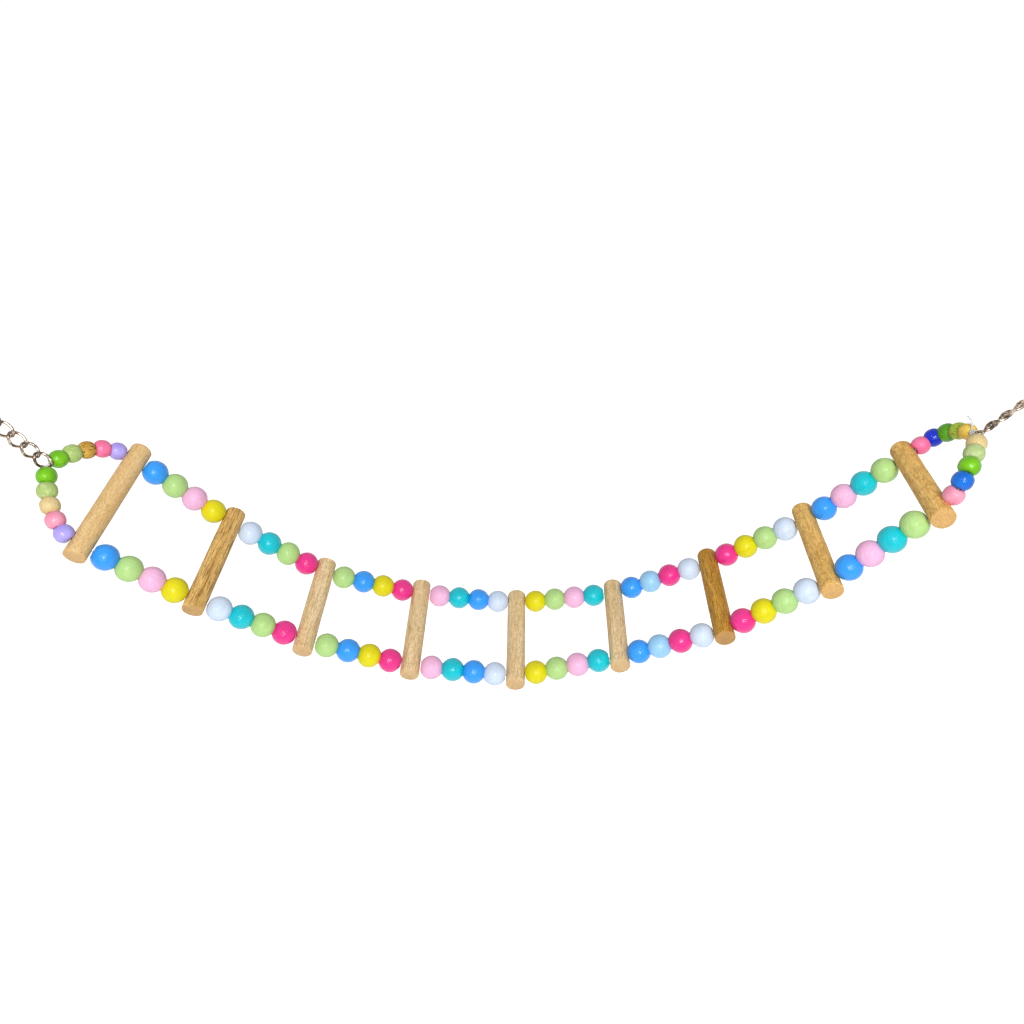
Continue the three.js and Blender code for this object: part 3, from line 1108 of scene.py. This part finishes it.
@dataclass
class Line:
    """The clear line through the beads and rungs."""

    diameter: float
    bays: int

    def build(self) -> None:
        """Makes each run of the line as a round one."""
        for bay in range(1, self.bays + 1):
            for strand in ("near", "far"):
                self.run(f"{strand}_cord_{bay}")
        for end in ("left", "right"):
            self.run(f"{end}_loop_cord")

    def run(self, node: str) -> None:
        """Makes one run along the middle of its CAD tube.

        Args:
            node: The CAD node that it stands for.
        """
        path = [middle / MM for middle in ring_middles(node)]
        shape = wire_shape(path, self.diameter / 2)
        keep_place(shape, Vector())
        piece = piece_from(shape, f"{node}_line", Matrix(), Nylon().material())
        stands_for(piece, node)


@dataclass
class Knot:
    """The knot that closes the line: turns of it drawn tight, and the cut end standing up."""

    diameter: float
    turns: float
    radius: float
    steps_per_turn: int = 14
    grip: float = 2.2
    pitch: float = 0.86
    bow: float = 0.12

    def build(self) -> None:
        """Makes the turns round the line beside the right chain, and the tail from them."""
        shape = packed_mesh("cord_knot")
        points = [vert.co / MM for vert in shape.verts]
        shape.free()
        line = [middle / MM for middle in ring_middles("right_loop_cord")]
        near = [p for p in points if min((p - q).length for q in line) < self.grip]
        middle = sum(near, Vector()) / len(near)
        tip = max(points, key=lambda p: (p - middle).length)
        closest = min(range(1, len(line) - 1), key=lambda at: (line[at] - middle).length)
        direction = (line[closest + 1] - line[closest - 1]).normalized()
        middle = line[closest] + direction * direction.dot(middle - line[closest])
        self.tie(middle, direction, tip)

    def tie(self, middle: Vector, direction: Vector, tip: Vector) -> None:
        """Winds the turns and leads the last one to the tail's tip.

        Args:
            middle: The middle of the knot, in millimetres.
            direction: The way the line runs there.
            tip: Where the cut end stops.
        """
        place = frame_on(middle, direction)
        length = self.turns * self.diameter * self.pitch
        path = []
        count = int(self.turns * self.steps_per_turn)
        up = place.inverted() @ tip
        leave = math.atan2(up.y, up.x)
        for step in range(count + 1):
            angle = leave - FULL_TURN * (count - step) / self.steps_per_turn
            height = length * (step / count - 0.5)
            wound = Vector((math.cos(angle), math.sin(angle), 0)) * self.radius
            path.append(place @ (wound + Vector((0, 0, height))))
        start = path[-1]
        bow = (path[-1] - path[-2]).normalized()
        reach = (tip - start).length
        for share in (0.25, 0.5, 0.75, 1.0):
            straight = start.lerp(tip, share)
            path.append(straight + bow * reach * self.bow * math.sin(math.pi * share))
        shape = wire_shape(path, self.diameter / 2)
        keep_place(shape, Vector())
        piece = piece_from(shape, "tied_knot", Matrix(), Nylon().material())
        stands_for(piece, "cord_knot")


@dataclass
class Chain:
    """The curb links of both chains."""

    length: float
    width: float
    wire: float
    turn: float
    links: int
    points: int = 32
    tarnish_and_shade_step: float = 13.0

    def build(self) -> None:
        """Makes every link where its CAD link lies."""
        for end in ("left", "right"):
            for number in range(1, self.links + 1):
                node = f"{end}_link_{number}"
                shape = self.link()
                # Each link shows another part of the pattern of tarnish and painted shade.
                keep_place(shape, Vector((number * self.tarnish_and_shade_step, 0, 0)))
                piece = piece_from(shape, f"{node}_wire", own_axes(node), Steel().material())
                stands_for(piece, node)

    def link(self) -> bmesh.types.BMesh:
        """Bends one link: an oval ring whose ends are turned against each other.

        Returns:
            The link in millimetres, with its length along the first axis.
        """
        reach = (self.length - self.wire) / 2
        side = (self.width - self.wire) / 2
        path = []
        for step in range(self.points):
            angle = FULL_TURN * step / self.points
            along = reach * math.cos(angle)
            aside = side * math.sin(angle)
            turn = math.radians(self.turn) / 2 * along / reach
            path.append(Vector((along, aside * math.cos(turn), aside * math.sin(turn))))
        return wire_shape(path, self.wire / 2, closed=True)


@dataclass
class Hooks:
    """The two wire hooks."""

    wire: float

    def build(self) -> None:
        """Makes both hooks along the middle of their CAD wires."""
        for end in ("left", "right"):
            node = f"{end}_hook"
            path = [middle / MM for middle in ring_middles(node)]
            shape = wire_shape(path, self.wire / 2)
            keep_place(shape, Vector())
            piece = piece_from(shape, f"{node}_wire", Matrix(), Steel().material())
            stands_for(piece, node)


# The studio


@dataclass
class Viewpoint:
    """The camera, placed from the middle rung as the photograph was taken."""

    offset: tuple[float, float, float]
    yaw: float
    pitch: float
    roll: float
    lens: float
    clip_start: float = 0.01
    clip_end: float = 50

    def build(self) -> bpy.types.Object:
        """Makes the camera.

        Returns:
            The camera, which the scene looks through.
        """
        low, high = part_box("rung_5")
        turn = Euler((math.pi / 2 - self.pitch, 0, 0)).to_matrix()
        turn = Matrix.Rotation(self.yaw, 3, "Z") @ turn @ Matrix.Rotation(self.roll, 3, "Z")
        camera = bpy.data.objects.new("camera", bpy.data.cameras.new("camera"))
        camera.data.lens = self.lens
        camera.data.clip_start = self.clip_start
        camera.data.clip_end = self.clip_end
        middle = (low + high) / 2
        camera.matrix_world = Matrix.Translation(middle + Vector(self.offset) * MM) @ turn.to_4x4()
        bpy.context.scene.collection.objects.link(camera)
        bpy.context.scene.camera = camera
        return camera


@dataclass
class Studio:
    """A pale floor under the hanging ladder, soft light from the camera's side and a pale world."""

    drop: float
    floor_size: float
    key_power: float
    key_size: float
    world_level: float
    lift: float
    key_distance: float = 1.1
    key_rise: float = 0.05
    floor_paint: tuple[float, float, float, float] = (0.9, 0.9, 0.9, 1)

    def build(self, camera: bpy.types.Object) -> None:
        """Makes the floor, the lamp and the world.

        Args:
            camera: The camera, which the lamp stands behind.
        """
        self.floor()
        self.lamp(camera)
        self.world()

    def seen(self, graph: Graph) -> Number:
        """Tells the rays that look straight at a surface from those that light it.

        Args:
            graph: The material's graph.

        Returns:
            1 for a camera's, a mirror's or a glass's ray, and 0 for any other.
        """
        light = graph.tree.nodes.new("ShaderNodeLightPath")
        rays = [Number(graph, light.outputs[kind]) for kind in SEEN_BY]
        return graph.step(rays[0] + rays[1] + rays[2], 0.0, 1.0)

    def floor(self) -> None:
        """Makes the floor, white to the eye except where the ladder's shadow falls."""
        low = cad_box[0]
        graph = Graph("floor")
        matt = graph.node("ShaderNodeBsdfDiffuse", {}, {"Color": self.floor_paint})
        glow = graph.node("ShaderNodeEmission", {}, {"Strength": self.seen(graph) * self.lift})
        both = graph.node("ShaderNodeAddShader", {}, {0: matt, 1: glow})
        graph.tree.links.new(both.socket, graph.output.inputs["Surface"])
        shape = bmesh.new()
        bmesh.ops.create_grid(shape, x_segments=2, y_segments=2, size=self.floor_size / 2)
        shape.transform(Matrix.Translation((0, 0, low.z - self.drop)))
        mesh = bpy.data.meshes.new("floor")
        shape.to_mesh(mesh)
        shape.free()
        mesh.materials.append(graph.material)
        floor = bpy.data.objects.new("floor", mesh)
        bpy.context.scene.collection.objects.link(floor)

    def lamp(self, camera: bpy.types.Object) -> None:
        """Makes the soft lamp above and behind the camera.

        Args:
            camera: The camera.
        """
        lamp = bpy.data.lights.new("key", "AREA")
        lamp.energy = self.key_power
        lamp.size = self.key_size
        holder = bpy.data.objects.new("key", lamp)
        middle = (cad_box[0] + cad_box[1]) / 2
        back = (camera.matrix_world.translation - middle).normalized()
        spot = middle + back * self.key_distance + Vector((0, 0, self.key_rise))
        holder.matrix_world = frame_on(spot, back)
        bpy.context.scene.collection.objects.link(holder)

    def world(self) -> None:
        """Makes the world: white to the eye, and an even soft light for everything else."""
        world = bpy.data.worlds.new("studio")
        bpy.context.scene.world = world
        world.use_nodes = True
        tree = world.node_tree
        tree.nodes.clear()
        light = tree.nodes.new("ShaderNodeLightPath")
        level = self.world_level
        for kind in SEEN_BY:
            raised = tree.nodes.new("ShaderNodeMath")
            raised.operation = "MAXIMUM"
            tree.links.new(light.outputs[kind], raised.inputs[0])
            if kind == SEEN_BY[0]:
                raised.inputs[1].default_value = level
            else:
                tree.links.new(level, raised.inputs[1])
            level = raised.outputs[0]
        back = tree.nodes.new("ShaderNodeBackground")
        out = tree.nodes.new("ShaderNodeOutputWorld")
        back.inputs["Color"].default_value = (1, 1, 1, 1)
        tree.links.new(level, back.inputs["Strength"])
        tree.links.new(back.outputs[0], out.inputs["Surface"])


BAY_COLOURS = (
    (Colour.BLUE, Colour.LIME, Colour.PINK, Colour.YELLOW),
    (Colour.WHITE, Colour.TEAL, Colour.LIME, Colour.MAGENTA),
    (Colour.LIME, Colour.BLUE, Colour.YELLOW, Colour.MAGENTA),
    (Colour.PINK, Colour.TEAL, Colour.BLUE, Colour.WHITE),
    (Colour.YELLOW, Colour.LIME, Colour.PINK, Colour.TEAL),
    (Colour.BLUE, Colour.SKY, Colour.MAGENTA, Colour.WHITE),
    (Colour.MAGENTA, Colour.YELLOW, Colour.LIME, Colour.WHITE),
    (Colour.BLUE, Colour.PINK, Colour.TEAL, Colour.LIME),
)
LEFT_NEAR = (Colour.LILAC, Colour.BLUSH, Colour.CREAM, Colour.STREAKY, Colour.GREEN)
LEFT_FAR = (Colour.LILAC, Colour.ROSE, Colour.GOLDEN, Colour.STREAKY, Colour.GREEN)
RIGHT_NEAR = (Colour.BLUSH, Colour.ROYAL, Colour.GREEN, Colour.MINT, Colour.CREAM)
RIGHT_FAR = (Colour.ROSE, Colour.NAVY, Colour.LEAF, Colour.OLIVE, Colour.TAN)
LEFT_NEAR_SIZES = (1.0, 1.0, 0.97, 1.0, 1.02)
LEFT_FAR_SIZES = (1.0, 1.0, 0.97, 1.0, 0.97)
RIGHT_NEAR_SIZES = (1.0, 1.0, 1.0, 0.97, 0.95)
RIGHT_FAR_SIZES = (0.98, 1.0, 1.0, 0.92, 0.86)
TIMBERS = (
    Wood.PALE,
    Wood.STREAKED,
    Wood.PLAIN,
    Wood.PLAIN,
    Wood.PLAIN,
    Wood.PLAIN,
    Wood.BROWN,
    Wood.GOLDEN,
    Wood.GOLDEN,
)


def main() -> None:
    """Builds the scene from the camera to the last hook."""
    logging.basicConfig(level=logging.INFO, format="%(message)s")
    rng = random.Random(SEED)
    bpy.context.scene.view_settings.view_transform = "Standard"
    view = Viewpoint(
        offset=(19.568, -320.952, 406.878), yaw=0.054446, pitch=0.739668, roll=-0.057604, lens=26.909
    )
    camera = view.build()
    large = Bead(diameter=15, length=13.5, bore=2.2, fullness=2.0)
    small = Bead(diameter=10.6, length=8.7, bore=2.4, fullness=2.3, sides=36, arc_steps=18)
    Line(diameter=1, bays=len(BAY_COLOURS)).build()
    Knot(diameter=1, turns=3.2, radius=1.15).build()
    Rungs(diameter=12.2, hole=3.6, timbers=TIMBERS).build(rng)
    Strands(large, BAY_COLOURS).build(rng)
    EndLoop("left", small, LEFT_NEAR, LEFT_FAR, LEFT_NEAR_SIZES, LEFT_FAR_SIZES, start=12.5).build(rng)
    EndLoop("right", small, RIGHT_NEAR, RIGHT_FAR, RIGHT_NEAR_SIZES, RIGHT_FAR_SIZES, start=0).build(rng)
    Chain(length=11.6, width=8.4, wire=1.6, turn=90, links=5).build()
    Hooks(wire=2.4).build()
    studio = Studio(drop=0.16, floor_size=14, key_power=12.5, key_size=0.45, world_level=0.37, lift=0.68)
    studio.build(camera)


if __name__ == "__main__":
    main()
